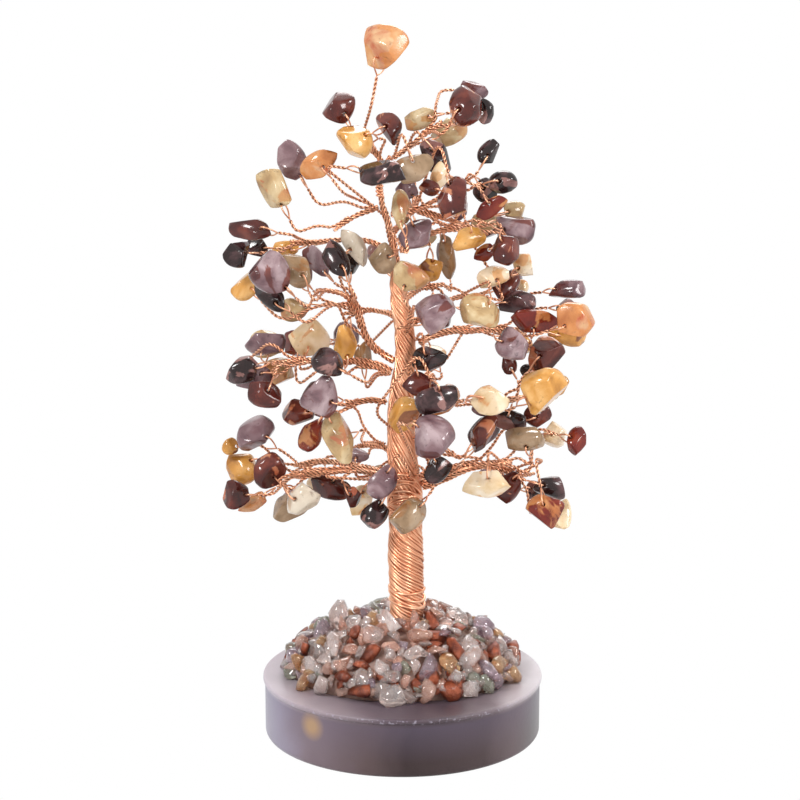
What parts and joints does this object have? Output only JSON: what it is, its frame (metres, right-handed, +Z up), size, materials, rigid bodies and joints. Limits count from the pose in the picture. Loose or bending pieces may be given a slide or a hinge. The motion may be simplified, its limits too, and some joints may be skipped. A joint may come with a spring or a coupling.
{
  "type": "gemstone tree ornament",
  "caption": "Small ornamental tree of twisted copper wire with drilled tumbled stones on its twigs, on a round cast resin base with a mound of gravel.",
  "frame": {"origin": "centre of the base's underside", "axes": "+Z up along the tree, -Y towards the picture's viewpoint"},
  "size_m": [0.098, 0.075, 0.1887],
  "materials": {
    "copper_wire": "bright bare copper wire",
    "cast_resin": "translucent cast resin, lavender grey",
    "clear_glue": "clear glue",
    "maroon_stone": "tumbled and polished",
    "plum_stone": "tumbled and polished",
    "black_stone": "tumbled and polished",
    "mustard_stone": "tumbled and polished",
    "cream_stone": "tumbled and polished",
    "tan_stone": "tumbled and polished",
    "red_stone": "tumbled and polished",
    "orange_stone": "tumbled and polished",
    "olive_stone": "tumbled and polished",
    "white_stone": "tumbled and polished",
    "clear_gravel": "polished chips, partly clear",
    "rose_gravel": "polished chips, partly clear",
    "amethyst_gravel": "polished chips, partly clear",
    "red_gravel": "polished chips, partly clear",
    "white_gravel": "polished chips, partly clear",
    "green_gravel": "polished chips, partly clear",
    "citrine_gravel": "polished chips, partly clear"
  },
  "bodies": {
    "root": {"base_disc": "cast_resin", "base_rim": "cast_resin", "foot_winding": "copper_wire", "fork_winding": "copper_wire", "glue_mound": "clear_glue", "gravel_amethyst": "amethyst_gravel", "gravel_citrine": "citrine_gravel", "gravel_clear": "clear_gravel", "gravel_green": "green_gravel", "gravel_red": "red_gravel", "gravel_rose": "rose_gravel", "gravel_white": "white_gravel", "knot_winding": "copper_wire", "leader": "copper_wire", "limb_broad_front": "copper_wire", "limb_broad_left": "copper_wire", "limb_broad_left_rise": "copper_wire", "limb_broad_right": "copper_wire", "limb_broad_right_rise": "copper_wire", "limb_low_left": "copper_wire", "limb_low_left_rear": "copper_wire", "limb_low_right": "copper_wire", "limb_low_right_outer": "copper_wire", "limb_middle_left": "copper_wire", "limb_middle_right": "copper_wire", "limb_rear_broad_left": "copper_wire", "limb_rear_broad_right": "copper_wire", "limb_rear_low_left": "copper_wire", "limb_rear_low_right": "copper_wire", "limb_rear_middle": "copper_wire", "limb_rear_upper": "copper_wire", "limb_top_left": "copper_wire", "limb_top_right": "copper_wire", "limb_upper_front": "copper_wire", "limb_upper_left": "copper_wire", "limb_upper_left_low": "copper_wire", "limb_upper_right": "copper_wire", "limb_upper_right_rise": "copper_wire", "stones_black": "black_stone", "stones_cream": "cream_stone", "stones_maroon": "maroon_stone", "stones_mustard": "mustard_stone", "stones_olive": "olive_stone", "stones_orange": "orange_stone", "stones_plum": "plum_stone", "stones_red": "red_stone", "stones_tan": "tan_stone", "stones_white": "white_stone", "trunk": "copper_wire", "trunk_twigs": "copper_wire"},
    "crown_stone": {"crown_stone": "orange_stone"},
    "low_left_tip_stone": {"low_left_tip_stone": "plum_stone"},
    "low_right_drop_stone": {"low_right_drop_stone": "maroon_stone"},
    "low_right_tip_stone": {"low_right_tip_stone": "red_stone"},
    "open_loop_stone": {"open_loop_stone": "black_stone"},
    "top_left_stone": {"top_left_stone": "maroon_stone"},
    "upper_left_tip_stone": {"upper_left_tip_stone": "tan_stone"}
  },
  "joints": [
    {"name": "crown_stone_swing", "type": "hinge", "parent": "root", "child": "crown_stone", "pos_m": [-0.00578, -0.00091, 0.17993], "axis": [-0.3494, -0.8785, 0.3258], "range_deg": [-15, 15]},
    {"name": "low_left_tip_stone_swing", "type": "hinge", "parent": "root", "child": "low_left_tip_stone", "pos_m": [-0.0367, 0.00061, 0.08014], "axis": [0.3049, -0.8559, 0.4176], "range_deg": [-15, 15]},
    {"name": "low_right_drop_stone_swing", "type": "hinge", "parent": "root", "child": "low_right_drop_stone", "pos_m": [0.01858, -0.00874, 0.08084], "axis": [-0.2655, -0.8665, 0.4227], "range_deg": [-15, 15]},
    {"name": "low_right_tip_stone_swing", "type": "hinge", "parent": "root", "child": "low_right_tip_stone", "pos_m": [0.04414, -0.00374, 0.08112], "axis": [-0.0679, -0.7915, 0.6074], "range_deg": [-15, 15]},
    {"name": "open_loop_stone_swing", "type": "hinge", "parent": "root", "child": "open_loop_stone", "pos_m": [0.02146, -0.0018, 0.15512], "axis": [0.1759, -0.917, 0.358], "range_deg": [-15, 15]},
    {"name": "top_left_stone_swing", "type": "hinge", "parent": "root", "child": "top_left_stone", "pos_m": [-0.0152, 0.00227, 0.16564], "axis": [0.1249, -0.9725, 0.1968], "range_deg": [-15, 15]},
    {"name": "upper_left_tip_stone_swing", "type": "hinge", "parent": "root", "child": "upper_left_tip_stone", "pos_m": [-0.03077, -0.00327, 0.1432], "axis": [-0.1321, -0.9897, 0.056], "range_deg": [-15, 15]}
  ]
}
